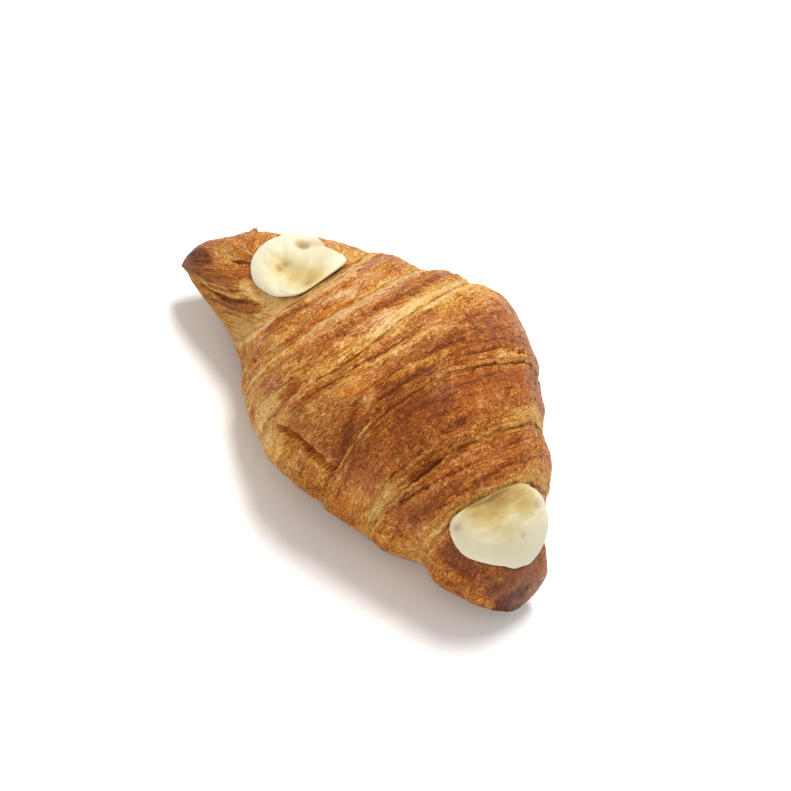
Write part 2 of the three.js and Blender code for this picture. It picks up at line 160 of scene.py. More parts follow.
# Marks of the baking: each has a half-width in millimetres and a path through (u, angle) places.  It adds
# its rise and bake, and brings the pale leafy look, the amber glow, the egg wash, the painted shade of a
# gap and the burn up to what it says
MARKS = [
    # cracks, sunk and darkened with painted shade
    (0.7, [(0.55, 60), (0.56, 79), (0.575, 90)], dict(rise=-0.7, bake=0.12, gap_shade=0.3)),
    (0.8, [(0.583, 99), (0.572, 119), (0.56, 127)], dict(rise=-0.7, bake=0.12, gap_shade=0.3)),
    (0.7, [(0.55, 137), (0.54, 143), (0.51, 158)], dict(rise=-0.7, bake=0.2, gap_shade=0.4)),
    (0.7, [(0.2, 88), (0.21, 67), (0.23, 50)], dict(rise=-0.7, bake=0.2, gap_shade=0.6)),
    (0.7, [(0.0, 98), (0.012, 110), (0.0, 124)], dict(rise=-0.7, bake=0.2, gap_shade=0.6)),
    (0.7, [(0.19, 100), (0.195, 118), (0.19, 128)], dict(rise=-0.6, bake=0.25, gap_shade=0.5)),
    (0.6, [(0.3, 70), (0.305, 88), (0.3, 104)], dict(rise=-0.5, bake=0.2, gap_shade=0.4)),
    (0.6, [(0.63, 80), (0.645, 100), (0.64, 125)], dict(rise=-0.4, bake=0.25, gap_shade=0.3)),
    (0.6, [(-0.85, 117), (-0.82, 114), (-0.79, 111)], dict(rise=-0.7, bake=0.3, gap_shade=0.6)),
    (0.8, [(-0.92, 176), (-0.84, 166), (-0.77, 153), (-0.7, 139)], dict(rise=-0.8, bake=0.15, gap_shade=0.3)),
    (0.7, [(-0.9, 165), (-0.83, 153), (-0.76, 138)], dict(rise=-0.5, bake=0.1, gap_shade=0.2)),
    (0.8, [(-0.9, 190), (-0.82, 174), (-0.73, 157), (-0.66, 144)], dict(rise=-0.6, bake=0.15, gap_shade=0.2)),
    (1.0, [(0.713, 66), (0.716, 60)], dict(rise=-1.8, bake=0.4, gap_shade=1.0)),
    # leafy lips and flakes
    (1.7, [(0.155, 84), (0.165, 98), (0.155, 108), (0.15, 121)], dict(rise=0.5, bake=-0.12, leaf=0.8)),
    (0.6, [(0.278, 170), (0.262, 154), (0.245, 138)], dict(rise=0.5, bake=-0.15, leaf=0.9)),
    (0.6, [(-0.118, 158), (-0.1, 151), (-0.095, 141)], dict(rise=0.9, bake=-0.35, leaf=1.0)),
    (0.9, [(-0.848, 51), (-0.835, 45)], dict(rise=1.8, bake=0.1, leaf=0.5)),
    (0.8, [(-0.405, 150), (-0.39, 140), (-0.37, 127)], dict(rise=0.6, bake=-0.1, leaf=0.9)),
    (1.3, [(0.035, 92), (0.045, 106), (0.04, 119)], dict(rise=0.5, bake=-0.1, leaf=0.6)),
    (1.6, [(0.44, 143), (0.45, 151), (0.45, 160)], dict(rise=0.5, bake=-0.05, leaf=0.5)),
    (1.6, [(-0.95, 168), (-0.87, 162), (-0.79, 148), (-0.73, 136)], dict(rise=0.5, bake=-0.16, leaf=0.7)),
    (1.9, [(0.235, 72), (0.232, 55), (0.225, 38)], dict(rise=0.3, bake=-0.15, leaf=0.6)),
    # slopes left pale where a wrap was covered
    (2.6, [(-0.15, 55), (-0.13, 80), (-0.1, 100), (-0.075, 116), (-0.085, 134)],
     dict(bake=-0.12, leaf=0.45)),
    (4.5, [(-0.24, 146), (-0.19, 138)], dict(bake=-0.12)),
    (5.0, [(0.02, 152), (0.1, 150)], dict(bake=-0.08)),
    (2.4, [(0.15, 127), (0.17, 133)], dict(rise=0.4, bake=-0.18, amber=0.3)),
    (7.0, [(-0.7, 165), (-0.74, 184)], dict(bake=-0.12)),
    # skin baked darker
    (2.0, [(-0.4, 60), (-0.42, 90), (-0.435, 112), (-0.46, 134), (-0.53, 158)], dict(rise=0.2, wash=0.8)),
    (2.8, [(-0.21, 58), (-0.19, 88), (-0.19, 110), (-0.195, 127)], dict(bake=0.12)),
    (2.6, [(-0.9, 187), (-0.88, 182), (-0.8, 165), (-0.72, 147), (-0.65, 134)],
     dict(rise=0.8, bake=0.2)),
    (6.0, [(0.03, 82), (0.06, 62), (0.03, 44)], dict(bake=0.08)),
    (2.0, [(0.14, 136), (0.19, 146), (0.25, 159)], dict(rise=-0.4, bake=0.14)),
    (1.8, [(0.485, 143), (0.5, 122)], dict(rise=-0.4, bake=0.28)),
    (3.4, [(0.6, 160), (0.615, 141), (0.61, 118)], dict(bake=0.16)),
    (5.0, [(0.53, 184), (0.54, 176)], dict(bake=0.12)),
    (2.0, [(0.81, 191), (0.815, 185)], dict(bake=0.3)),
    # wide, soft differences in bake
    (5.0, [(-0.035, 104), (-0.05, 154)], dict(bake=0.24)),
    (4.0, [(-0.14, 146), (-0.15, 158)], dict(bake=0.22)),
    (4.5, [(0.14, 84), (0.15, 98)], dict(bake=0.12)),
    (5.0, [(0.24, 46), (0.26, 94)], dict(bake=-0.13)),
    (5.0, [(0.55, 42), (0.55, 62)], dict(bake=-0.1)),
    (6.5, [(-0.91, 92), (-0.85, 117)], dict(bake=-0.16)),
    (7.0, [(0.34, 104), (0.37, 136)], dict(bake=0.14)),
    (5.0, [(0.5, 104), (0.52, 134)], dict(bake=0.08)),
    (8.0, [(0.1, 174), (0.5, 174)], dict(bake=-0.12)),
    (5.0, [(-0.47, 98), (-0.5, 112), (-0.55, 130)], dict(bake=-0.2, amber=0.55)),
    (5.5, [(-0.56, 148), (-0.61, 172)], dict(bake=-0.2, amber=0.7)),
    (4.0, [(-0.44, 80), (-0.445, 114)], dict(bake=-0.34, wash=0.6)),
    (4.0, [(-0.35, 98), (-0.36, 116)], dict(bake=-0.14)),
    (4.5, [(-0.78, 136), (-0.68, 130), (-0.58, 130)], dict(bake=-0.32, amber=0.7)),
    (6.0, [(-0.66, 152), (-0.58, 144)], dict(bake=-0.16, amber=0.6)),
    (5.0, [(-0.25, 66), (-0.25, 90), (-0.27, 128)], dict(bake=-0.08, wash=0.9)),
    (5.0, [(-0.36, 80), (-0.38, 118)], dict(bake=-0.1, wash=0.9)),
    (4.0, [(-0.145, 96), (-0.15, 120)], dict(bake=-0.14, wash=0.9)),
    (7.0, [(-0.1, 138), (-0.06, 172)], dict(bake=0.12, amber=0.7)),
    (5.0, [(-0.05, 84), (-0.045, 108)], dict(bake=0.1)),
    (6.0, [(0.13, 60), (0.16, 128)], dict(bake=0.06)),
    (6.5, [(-0.24, 168), (-0.36, 174)], dict(bake=-0.15, amber=0.5)),
    (5.5, [(0.44, 66), (0.47, 118), (0.46, 150)], dict(bake=0.18)),
    (4.0, [(0.66, 92), (0.66, 124)], dict(bake=0.1)),
    (8.0, [(0.76, 160), (0.95, 160)], dict(bake=0.16)),
    # amber glow of thin, buttery spots
    (3.4, [(0.075, 139), (0.085, 127)], dict(rise=0.2, bake=-0.12, amber=1.0)),
    (3.0, [(-0.325, 100), (-0.345, 113), (-0.35, 130), (-0.365, 143)],
     dict(rise=-0.5, bake=0.08, amber=1.0)),
    (3.4, [(-0.34, 120), (-0.37, 145)], dict(bake=0.12, amber=1.0)),
    (2.4, [(-0.375, 150), (-0.39, 159)], dict(rise=-0.3, amber=0.7)),
    (4.0, [(0.25, 128), (0.29, 118), (0.3, 100)], dict(bake=0.04, amber=0.7)),
    # the crease under the tongue: sunk, with its darker amber colour as painted shade
    (2.0, [(-0.07, 168), (0.04, 169.5), (0.15, 171.5), (0.26, 174)],
     dict(rise=-1.9, bake=0.22, amber=0.9)),
    # scorched tips
    (4.0, [(-0.995, 60), (-0.97, 120), (-0.92, 130)], dict(bake=0.2, burn=0.6)),
    (5.0, [(0.99, 300), (0.99, 60)], dict(bake=0.25, burn=0.7)),
    (3.5, [(0.995, 60), (0.99, 150), (0.99, 240)], dict(bake=0.25, burn=0.8)),
    (5.0, [(0.955, 70), (0.96, 150)], dict(bake=0.08, burn=0.15)),
]

# The dollops: where each sits, how it stands, the wrap edge it is tucked under, and its outline as
# (direction, reach): 0 is along the roll to the near tip, 90 is round it to the belly
FAR_CREAM = dict(
    u=-0.632, angle=92.0, rise=3.4, sink=7.0, edge=0,
    outline=[(0, 17.0), (25, 16.0), (70, 15.5), (100, 18.0), (120, 20.5), (145, 17.0), (160, 15.0),
             (185, 13.5), (215, 13.5), (240, 15.5), (257, 14.0), (268, 10.5), (293, 8.0), (320, 9.5),
             (337, 13.0), (348, 17.0)],
)
NEAR_CREAM = dict(
    u=0.80, angle=93.0, rise=3.8, sink=7.0, edge=5,
    outline=[(0, 14.0), (35, 14.5), (60, 17.0), (85, 20.0), (120, 19.5), (140, 18.5), (180, 13.0),
             (205, 10.0), (228, 9.5), (250, 11.5), (275, 15.0), (300, 20.5), (325, 17.0), (345, 14.5)],
)
OUTLINE_SOFTNESS, OUTLINE_STEPS = 6.0, 720
CORNER_SHARPNESS = 16.0
REACH_PASSES = 6
NO_EDGE = 1e6

# How far a dollop stays from its edge, and how the skin calms beside it and drops away beneath it
EDGE_GAP = 0.35
CALM_REACH, CALM_RELIEF = 1.35, 0.15
HOLLOW_WALL, HOLLOW_ROOM = (0.88, 0.98), 1.2

# Fineness of the pastry mesh
TOP_COLUMNS, UNDER_COLUMNS = 306, 54
UNDER_FROM, UNDER_TO = 212.0, 330.0
BAND_SPACING = 0.76
MIDDLE_ROWS_MORE, TIP_ROWS_MORE = -3, 8
CREST_KNOT = 3
TIP_CROWDING = 1.9
FACE_ROWS = 12
SHOULDER_ROOM, CRACK_ROOM = 0.5, 0.45
LIP_SHARE = 0.78

# How the grain of the dough follows the wraps and slants on the folded far horn
FLOW_REACH = 34.0
WRAP_SHIFT, EDGE_APART = 2.7, 40.0
FOLD_U, FOLD_START, FOLD_END = (-0.48, -0.72), (90.0, 130.0), (250.0, 200.0)
FOLD_SLANT, FOLD_ANGLE = 0.42, 140.0

# The smooth belly, the height taken off to balance the detail, and the room left inside the CAD box
BELLY_START, BELLY_END = (166.0, 176.0), (215.0, 235.0)
MEAN_DETAIL = 0.5
BOX_INSET = 0.05

# Where each family of random numbers starts
WANDER_SEED, RIPPLE_SEED, RAGGED_SEED, PARTED_SEED, MARK_SEED = 100, 120, 140, 160, 300
FAR_SEED, NEAR_SEED = 31, 47


def smooth_step(low, high, value):
    """From 0 at low to 1 at high; low may be the larger of the two."""
    t = np.clip((value - low) / (high - low), 0.0, 1.0)
    return t * t * (3.0 - 2.0 * t)


def mix(a, b, t):
    return a + (b - a) * t


def through(knots, value):
    """The value of a line through (place, value) knots."""
    return np.interp(value, [k[0] for k in knots], [k[1] for k in knots])


def around_through(knots, angle, softness=7.0):
    """A smooth closed curve through (degrees, value) knots, read at angles in radians."""
    degrees = np.arange(360.0)
    curve = np.interp(degrees, [k[0] for k in knots], [k[1] for k in knots], period=360.0)
    window = np.exp(-0.5 * (np.minimum(degrees, 360.0 - degrees) / softness) ** 2)
    smoothed = np.fft.ifft(np.fft.fft(curve) * np.fft.fft(window / window.sum())).real
    return np.interp(np.degrees(angle), degrees, smoothed, period=360.0)


def hashed(cells, seed):
    """A repeatable number from -1 to 1 for each whole-numbered cell."""
    mixed = cells[..., 0] * 73856093 ^ cells[..., 1] * 19349663 ^ cells[..., 2] * 83492791
    mixed = (mixed ^ (seed * 40503 + 77773)) & 0xFFFFFFFF
    mixed = ((mixed ^ (mixed >> 15)) * 739982445) & 0xFFFFFFFF
    mixed = ((mixed ^ (mixed >> 12)) * 695872825) & 0xFFFFFFFF
    return ((mixed ^ (mixed >> 15)) & 0xFFFFFF) / 0x7FFFFF - 1.0


def noise(points, seed):
    """Smooth noise from -1 to 1 with one cell per unit."""
    base = np.floor(points).astype(np.int64)
    local = points - base
    fade = local * local * local * (local * (local * 6.0 - 15.0) + 10.0)
    total = np.zeros(points.shape[:-1])
    for corner in itertools.product((0, 1), repeat=3):
        step = np.array(corner)
        weight = np.where(step == 1, fade, 1.0 - fade).prod(axis=-1)
        total += weight * hashed(base + step, seed)
    return total


def layered_noise(points, seed, layers):
    """Noise with finer and fainter layers added, still about -1 to 1."""
    total, share, sum_of_shares = 0.0, 1.0, 0.0
    for layer in range(layers):
        total = total + share * noise(points * 2.0**layer, seed + 17 * layer)
        sum_of_shares += share
        share *= 0.5
    return total / sum_of_shares * 1.4


def terraces(value, edge):
    """Turns a smooth value into flat treads one unit apart, with risers taking `edge` of each."""
    tread = np.floor(value)
    return tread + smooth_step(1.0 - edge, 1.0, value - tread)


# ------------------------------------------------ the roll


def taper(u, peak, far, near, far_tip, near_tip):
    """Share of the full size left at u."""
    on_far = u < peak
    t = np.clip(np.where(on_far, (peak - u) / (1.0 + peak), (u - peak) / (1.0 - peak)), 0.0, 1.0)
    power = np.where(on_far, far, near)
    tip = np.where(on_far, far_tip, near_tip)
    return tip * np.sqrt(1.0 - t**TIP_BLUNTNESS) + (1.0 - tip) * (1.0 - t**power)


def middle_line(u):
    """Middle of the roll at u, seen from above."""
    far = np.clip((-u - FAR_HORN_FROM) / (1.0 - FAR_HORN_FROM), 0.0, None) ** 2
    near = np.clip((u - NEAR_HORN_FROM) / (1.0 - NEAR_HORN_FROM), 0.0, None) ** 2
    x = HALF_LENGTH * u - FAR_HORN_REACH * far + NEAR_HORN_REACH * near
    y = BOW * (1.0 - u * u) - FAR_HORN_TURN * far - NEAR_HORN_TURN * near
    return x, y


def skin(u, angle, relief):
    """Points on the roll at u and angle in radians, moved out from the smooth skin by relief."""
    u = np.clip(u, -1.0, 1.0)
    x, y = middle_line(u)
    x0, y0 = middle_line(u - TANGENT_STEP)
    x1, y1 = middle_line(u + TANGENT_STEP)
    run = np.hypot(x1 - x0, y1 - y0)
    side_x, side_y = -(y1 - y0) / run, (x1 - x0) / run
    half_width = HALF_WIDTH * taper(u, **WIDTH_TAPER)
    height = HEIGHT * taper(u, **HEIGHT_TAPER)
    lift = np.where(u < 0, FAR_LIFT, NEAR_LIFT) * np.abs(u) ** 3
    middle = lift - BASE_PRESS + (1.0 - CROWN_SHARE) * height
    cosine, sine = np.cos(angle), np.sin(angle)
    side = half_width * np.sign(cosine) * np.abs(cosine) ** CROWN_POWER
    up = np.where(
        sine > 0,
        CROWN_SHARE * height * np.abs(sine) ** CROWN_POWER,
        -(1.0 - CROWN_SHARE) * height * np.abs(sine) ** BASE_POWER,
    )
    grow = 1.0 + relief / np.maximum(1.0, np.hypot(side, up))
    across = side * grow - HORN_LEAN * u * u * height / HEIGHT * sine
    z = np.maximum(0.0, middle + up * grow)
    return np.stack([x + side_x * across, y + side_y * across, z], axis=-1)


def form(u, angle):
    """How much fuller the roll is at a place than its even taper."""
    total = 0.0
    for form_u, form_angle, spread_u, spread_angle, rise in FORMS:
        turn = (np.degrees(angle) - form_angle + 180.0) % 360.0 - 180.0
        total = total + rise * np.exp(-(((u - form_u) / spread_u) ** 2) - (turn / spread_angle) ** 2)
    return total


def column_angles():
    """Angles round the roll in radians, close together on top and wider apart underneath."""
    top = np.linspace(UNDER_TO - 360.0, UNDER_FROM, TOP_COLUMNS, endpoint=False)
    under = np.linspace(UNDER_FROM, UNDER_TO, UNDER_COLUMNS, endpoint=False)
    return np.radians(np.concatenate([top, under]))


def flow_points(across, angle, reach=FLOW_REACH):
    """Places in millimetres that cross the wraps on the first axis and circle the roll on the others."""
    across, angle, reach = np.broadcast_arrays(across, angle, reach)
    return np.stack([across, reach * np.cos(angle), reach * np.sin(angle)], axis=-1)


def cream_scales(cream):
    """Millimetres per unit of u and per radian at the middle of a dollop."""
    angle0 = math.radians(cream["angle"])
    u0 = cream["u"]
    points = skin(np.array([u0, u0 + 0.01, u0]), np.array([angle0, angle0, angle0 + 0.01]), 0.0)
    return tuple(float(np.linalg.norm(points[i] - points[0]) / 0.01) for i in (1, 2))


def cream_limit(cream, angle):
    """u that a dollop stops at, just short of the edge it is tucked under."""
    edge = EDGES[cream["edge"]]
    clear = (0.5 * edge["face"] + EDGE_GAP) / HALF_LENGTH
    return around_through(edge["line"], angle) + edge["faces"] * clear


def cream_reach(cream, direction):
    """Reach of a dollop in each direction, to its free outline or to the edge it is tucked under."""
    along_scale, around_scale = cream_scales(cream)
    free = around_through(cream["outline"], direction, OUTLINE_SOFTNESS)
    reach = free
    for _ in range(REACH_PASSES):
        angle = math.radians(cream["angle"]) + reach * np.sin(direction) / around_scale
        to_edge = (cream_limit(cream, angle) - cream["u"]) * along_scale / np.cos(direction)
        to_edge = np.where(to_edge > 0, to_edge, NO_EDGE)
        reach = (free**-CORNER_SHARPNESS + to_edge**-CORNER_SHARPNESS) ** (-1.0 / CORNER_SHARPNESS)
    return reach


def cream_share(cream, u, angle):
    """How far a place on the skin is from the middle of a dollop, as a share of the way to its outline."""
    along_scale, around_scale = cream_scales(cream)
    turn = (angle - math.radians(cream["angle"]) + math.pi) % math.tau - math.pi
    along = (u - cream["u"]) * along_scale
    around = turn * around_scale
    direction = np.arctan2(around, along) % math.tau
    every = np.linspace(0.0, math.tau, OUTLINE_STEPS + 1)
    return np.hypot(along, around) / np.interp(direction, every, cream_reach(cream, every))


# ---------------------------------------------- the pastry


def edge_line(index, angles):
    """An edge's u at each angle, with the small wander of a hand-rolled edge."""
    places = flow_points(EDGE_APART * index, angles)
    wander = 0.45 * layered_noise(places / 12.0, WANDER_SEED + index, 2)
    wander = wander + 0.15 * layered_noise(places / 2.6, RIPPLE_SEED + index, 2)
    return around_through(EDGES[index]["line"], angles) + wander / HALF_LENGTH


def band_level(s, far, near, far_depth, near_depth):
    """Height of a wrap over the smooth skin; s runs from its far side to its near side."""
    far_step = far_depth * far["step"] if far else 0.0
    near_step = near_depth * near["step"] if near else 0.0
    crease_far = far_step if far and far["faces"] > 0 else 0.0
    crease_near = near_step if near and near["faces"] < 0 else 0.0
    shoulder_far = far_step - crease_far
    shoulder_near = near_step - crease_near
    covered = bool((far and far["faces"] > 0) or (near and near["faces"] < 0))
    base = crease_far + crease_near if covered else 0.5 * (shoulder_far + shoulder_near)
    level = base / 3.0 - crease_far * (1.0 - s) ** 2 - crease_near * s**2
    rounding = shoulder_far * (1.0 - s) ** SHOULDER_POWER + shoulder_near * s**SHOULDER_POWER
    return level - SHOULDER_DROP * rounding


def face_rows(edge, index, angles):
    """Rows down the cut face of a wrap edge and through the crack under it, from its shoulder down:
    distance out, height over the smooth skin, bake (raised in the crack as painted shade), leafiness and
    the painted shade of the crack."""
    t = np.linspace(0.0, 1.0, FACE_ROWS)[:, None]
    knots = [0.0, 0.15, 0.62, 0.74, 0.86, 1.0]

    def down(*values):
        """A line through values at the knots, read at each row."""
        return np.interp(t, knots, values)

    wide = around_through(edge["wide"], angles) if "wide" in edge else 1.0
    places = flow_points(70.0 + EDGE_APART * index, angles)
    ragged = layered_noise(places / 4.0, RAGGED_SEED + index, 3)
    spread = 0.5 * edge["face"] * wide
    half = np.maximum(0.35, spread * (1.0 + 0.2 * ragged) + 0.25 * ragged)
    parted = layered_noise(flow_points(EDGE_APART * index, angles) / 7.0, PARTED_SEED + index, 2)
    gape = around_through(edge["gape"], angles) * smooth_step(-0.5, 0.3, parted)
    pale = around_through(edge["pale"], angles)
    out = half * down(-1.0, -0.76, 1.0, 1.0, 1.0, 1.0) + down(0.0, 0.0, 0.0, -0.1, 0.15, 1.1)
    undercut = down(0.0, 0.0, 0.0, -0.5, -0.2, 0.0)
    closed = down(0.03, -0.05, -0.52, -0.62, -0.68, -0.67)
    opened = down(0.03, -0.05, -0.50, -0.75, -0.90, -0.70)
    leaf = down(0.25, 0.9, 0.95, 0.4, 0.1, 0.3)
    # Painted shade in the crack, deepest where it gapes; the crack rows are also baked darker as painted
    # shade
    gap_shade = down(0.0, 0.0, 0.1, 0.7, 1.0, 0.2)
    return (
        out + undercut * gape,
        edge["step"] * mix(closed, opened, gape),
        edge["tone"] + down(0.0, 0.0, 0.0, 0.1, 0.1, 0.0),
        leaf * pale,
        gap_shade * gape,
    )


def crest_u(edge, tip):
    """u where an edge crosses the crest, or that of a tip where there is no edge."""
    return edge["line"][CREST_KNOT][1] if edge else tip


def build_rows(angles):
    """Rows of pastry points from the far tip to the near tip: u, height, bake, leafiness, amber, painted
    shade of gaps and which wrap each row lies on."""
    lines = [edge_line(i, angles) for i in range(len(EDGES))]
    faces = [face_rows(edge, index, angles) for index, edge in enumerate(EDGES)]
    depths = [around_through(edge["depth"], angles) for edge in EDGES]
    rows = []

    def add(u, level, bake, leaf, amber, gap_shade, band):
        row = (u, level, bake, leaf, amber, gap_shade, float(band))
        rows.append([np.broadcast_to(value, angles.shape) for value in row])

    def limit(index, band):
        """u where the open part of a wrap meets an edge beside it."""
        edge = EDGES[index]
        upper = (edge["faces"] > 0) == (band == index)
        out = faces[index][0][0] - SHOULDER_ROOM if upper else faces[index][0][-1] + CRACK_ROOM
        return lines[index] + edge["faces"] * out / HALF_LENGTH

    for band in range(len(EDGES) + 1):
        far = EDGES[band - 1] if band > 0 else None
        near = EDGES[band] if band < len(EDGES) else None
        start = limit(band - 1, band) if far else np.full(angles.shape, -1.0)
        end = limit(band, band) if near else np.full(angles.shape, 1.0)
        length = (crest_u(near, 1.0) - crest_u(far, -1.0)) * HALF_LENGTH
        count = int(length / BAND_SPACING) + (MIDDLE_ROWS_MORE if far and near else TIP_ROWS_MORE)
        ended = 0.0
        if far and near and far["faces"] < 0 and near["faces"] > 0:
            degrees = np.degrees(angles)
            ended = smooth_step(*TONGUE_END, degrees) * (1.0 - smooth_step(*TONGUE_LEVEL, degrees))
        for s in np.linspace(0.0, 1.0, count):
            place = s
            if far is None:
                place = s**TIP_CROWDING
            elif near is None:
                place = 1.0 - (1.0 - s) ** TIP_CROWDING
            if (far is None and s == 0.0) or (near is None and s == 1.0):
                continue
            far_depth, near_depth = depths[band - 1] if far else 0.0, depths[band] if near else 0.0
            level = band_level(place, far, near, far_depth, near_depth)
            level = level - TONGUE_STEP * ended * smooth_step(*TONGUE_SPREAD, place)
            add(mix(start, end, place), level, through(BAND_BAKE[band], place), 0.0,
                through(BAND_AMBER[band], place), 0.0, band)
        if near is None:
            break
        out, level, tone, leaf, gap_shade = faces[band]
        for i in range(FACE_ROWS)[:: near["faces"]]:
            upper_band = band if near["faces"] > 0 else band + 1
            row_band = upper_band if i < LIP_SHARE * FACE_ROWS else upper_band + near["faces"]
            place = lines[band] + near["faces"] * out[i] / HALF_LENGTH
            add(place, depths[band] * level[i], tone[i], leaf[i], 0.15, gap_shade[i], row_band)
    return [np.array(v) for v in zip(*rows)]


def mark_mask(points, width, path, seed):
    """From 0 to 1, how strongly a mark of the baking covers each point of the smooth roll."""
    stops = np.linspace(0.0, len(path) - 1.0, 24)
    u = np.interp(stops, range(len(path)), [p[0] for p in path])
    angle = np.radians(np.interp(stops, range(len(path)), [p[1] for p in path]))
    line = skin(u, angle, 0.0)
    reach = width + 1.0
    low, high = line.min(axis=0) - reach, line.max(axis=0) + reach
    near = ((points > low) & (points < high)).all(axis=-1)
    close = points[near]
    mask = np.zeros(points.shape[:-1])
    if not len(close):
        return mask
    best = np.full(len(close), 1e9)
    for k in range(len(line) - 1):
        span = line[k + 1] - line[k]
        t = np.clip(((close - line[k]) @ span) / max(span @ span, 1e-9), 0.0, 1.0)
        taper_share = 0.35 + 0.65 * math.sin(math.pi * (k + 0.5) / (len(line) - 1)) ** 0.5
        distance = np.linalg.norm(close - line[k] - t[:, None] * span, axis=-1)
        best = np.minimum(best, distance / (width * taper_share))
    best = best + 0.35 * layered_noise(close / max(1.2, width), seed, 2)
    mask[near] = 1.0 - smooth_step(0.35, 1.0, best)
    return mask


def pastry_shape():
    """Points of the pastry and the numbers its material reads."""
    angles = column_angles()
    u, relief, bake, leaf, amber, gap_shade, band = build_rows(angles)
    angle = np.broadcast_to(angles, u.shape)
    degrees = np.degrees(angle)
    top = smooth_step(-0.6, 0.1, np.sin(angle))
    crest_column = int(np.argmin(np.abs(angles - math.pi / 2)))
    across = HALF_LENGTH * u[:, crest_column][:, None]
    flow = flow_points(across, angle, FLOW_REACH * np.clip(taper(u, **HEIGHT_TAPER), 0.03, 1.0))
    flow[..., 1:] += WRAP_SHIFT * band[..., None]
    folded = smooth_step(*FOLD_U, u) * smooth_step(*FOLD_START, degrees) * smooth_step(*FOLD_END, degrees)
    flow[..., 0] += FOLD_SLANT * (degrees - FOLD_ANGLE) * folded

    # Marks of the baking
    smooth = skin(u, angle, 0.0)
    looks = dict(leaf=leaf, amber=amber, gap_shade=gap_shade, burn=np.zeros(u.shape), wash=np.zeros(u.shape))
    for index, (width, path, mark) in enumerate(MARKS):
        mask = mark_mask(smooth, width, path, MARK_SEED + index)
        relief = relief + mark.get("rise", 0.0) * mask
        bake = bake + mark.get("bake", 0.0) * mask
        for name in looks:
            looks[name] = np.maximum(looks[name], mark.get(name, 0.0) * mask)
    leaf, amber, gap_shade, burn, washed = looks.values()

    # Slow swells, flaky plates with thin edges, leafy ridges along the wraps, and small blisters
    swell = layered_noise(flow / [15.0, 13.0, 13.0], 3, 2)
    plates = terraces(3.0 * layered_noise(flow / [4.5, 10.0, 10.0], 7, 3), 0.25)
    ridge = layered_noise(flow / [1.5, 20.0, 20.0], 5, 3)
    wrinkle = 1.0 - 2.2 * np.abs(layered_noise(flow / [2.8, 14.0, 14.0], 19, 2))
    blister = np.clip(layered_noise(flow / [3.0, 4.2, 4.2], 13, 3) + 0.1, 0.0, None)
    rough_patch = smooth_step(-0.35, 0.25, layered_noise(flow / [12.0, 16.0, 16.0], 23, 2))
    open_skin = (1.0 - leaf) * (1.0 - gap_shade)
    detail = (0.34 * plates + 0.30 * wrinkle + 0.85 * blister) * mix(0.35, 1.0, rough_patch) * open_skin
    detail = detail + ridge * (0.12 + 0.26 * leaf)
    detail = detail * mix(0.55, 1.0, smooth_step(15.0, 60.0, degrees))
    relief = relief + 0.7 * swell + detail - MEAN_DETAIL
    bake = bake - 0.10 * (detail - 0.2)

    # Smoother and more golden on the belly, plain underneath
    belly = smooth_step(*BELLY_START, degrees) * (1.0 - smooth_step(*BELLY_END, degrees))
    bake = mix(bake, 0.40 + 0.5 * (bake - 0.5), 0.7 * belly)
    relief = relief * mix(0.3, 1.0, top)
    relief = relief + form(u, angle)

    # Room for the cream: the skin calms beside each dollop and drops away beneath it
    for cream, under in ((FAR_CREAM, band == 0), (NEAR_CREAM, band == len(EDGES))):
        share = cream_share(cream, u, angle)
        calm = under * (1.0 - smooth_step(1.0, CALM_REACH, share))
        relief = mix(relief, CALM_RELIEF * relief, calm)
        inside = under * (1.0 - smooth_step(*HOLLOW_WALL, share))
        relief = mix(relief, -(cream["sink"] + HOLLOW_ROOM), inside)
        # Painted shade: the skin in the hollow under the dollop's rim is darkened
        gap_shade = np.maximum(gap_shade, 0.1 * inside)

    wash = open_skin * np.maximum(smooth_step(0.36, 0.62, bake), washed) * (1.0 - 0.7 * belly)
    return dict(
        points=skin(u, angle, relief), flow=flow,
        tone=np.stack([bake, leaf, gap_shade], axis=-1), tint=np.stack([wash, amber, burn], axis=-1),
    )


def closed_grid(points, start, end):
    """Vertices and faces of a closed surface through rows of points, with a pole at each end."""
    row_count, around = points.shape[:2]
    verts = np.concatenate([[start], points.reshape(-1, 3), [end]])
    index = 1 + np.arange(row_count * around).reshape(row_count, around)
    after = np.roll(index, -1, axis=1)
    quads = np.stack([index[:-1], after[:-1], after[1:], index[1:]], axis=-1).reshape(-1, 4)
    first = [(0, int(b), int(a)) for a, b in zip(index[0], after[0])]
    last = [(len(verts) - 1, int(a), int(b)) for a, b in zip(index[-1], after[-1])]
    return verts, quads.tolist() + first + last


def make_mesh(name, verts, faces):
    mesh = bpy.data.meshes.new(name)
    mesh.from_pydata(verts.tolist(), [], faces)
    mesh.update()
    mesh.polygons.foreach_set("use_smooth", np.ones(len(mesh.polygons), bool))
    piece = bpy.data.objects.new(name, mesh)
    bpy.context.scene.collection.objects.link(piece)
    return piece


def add_numbers(mesh, name, values):
    """Stores a vector per vertex for the material to read."""
    values = np.asarray(values, np.float32)
    mesh.attributes.new(name, "FLOAT_VECTOR", "POINT").data.foreach_set("vector", values.ravel())


def with_poles(values):
    """A grid of values as one list, with each pole taking the value beside it."""
    flat = values.reshape(-1, *values.shape[2:])
    return np.concatenate([values[0].mean(axis=0)[None], flat, values[-1].mean(axis=0)[None]])


def fit_to_box(low, high, box_low, box_high):
    """Scale and offset, axis by axis, that carry one box just inside another."""
    target_low = np.array(box_low) / MM + np.array([BOX_INSET, BOX_INSET, 0.0])
    target_high = np.array(box_high) / MM - BOX_INSET
    scale = (target_high - target_low) / (high - low)
    return scale, target_low - low * scale


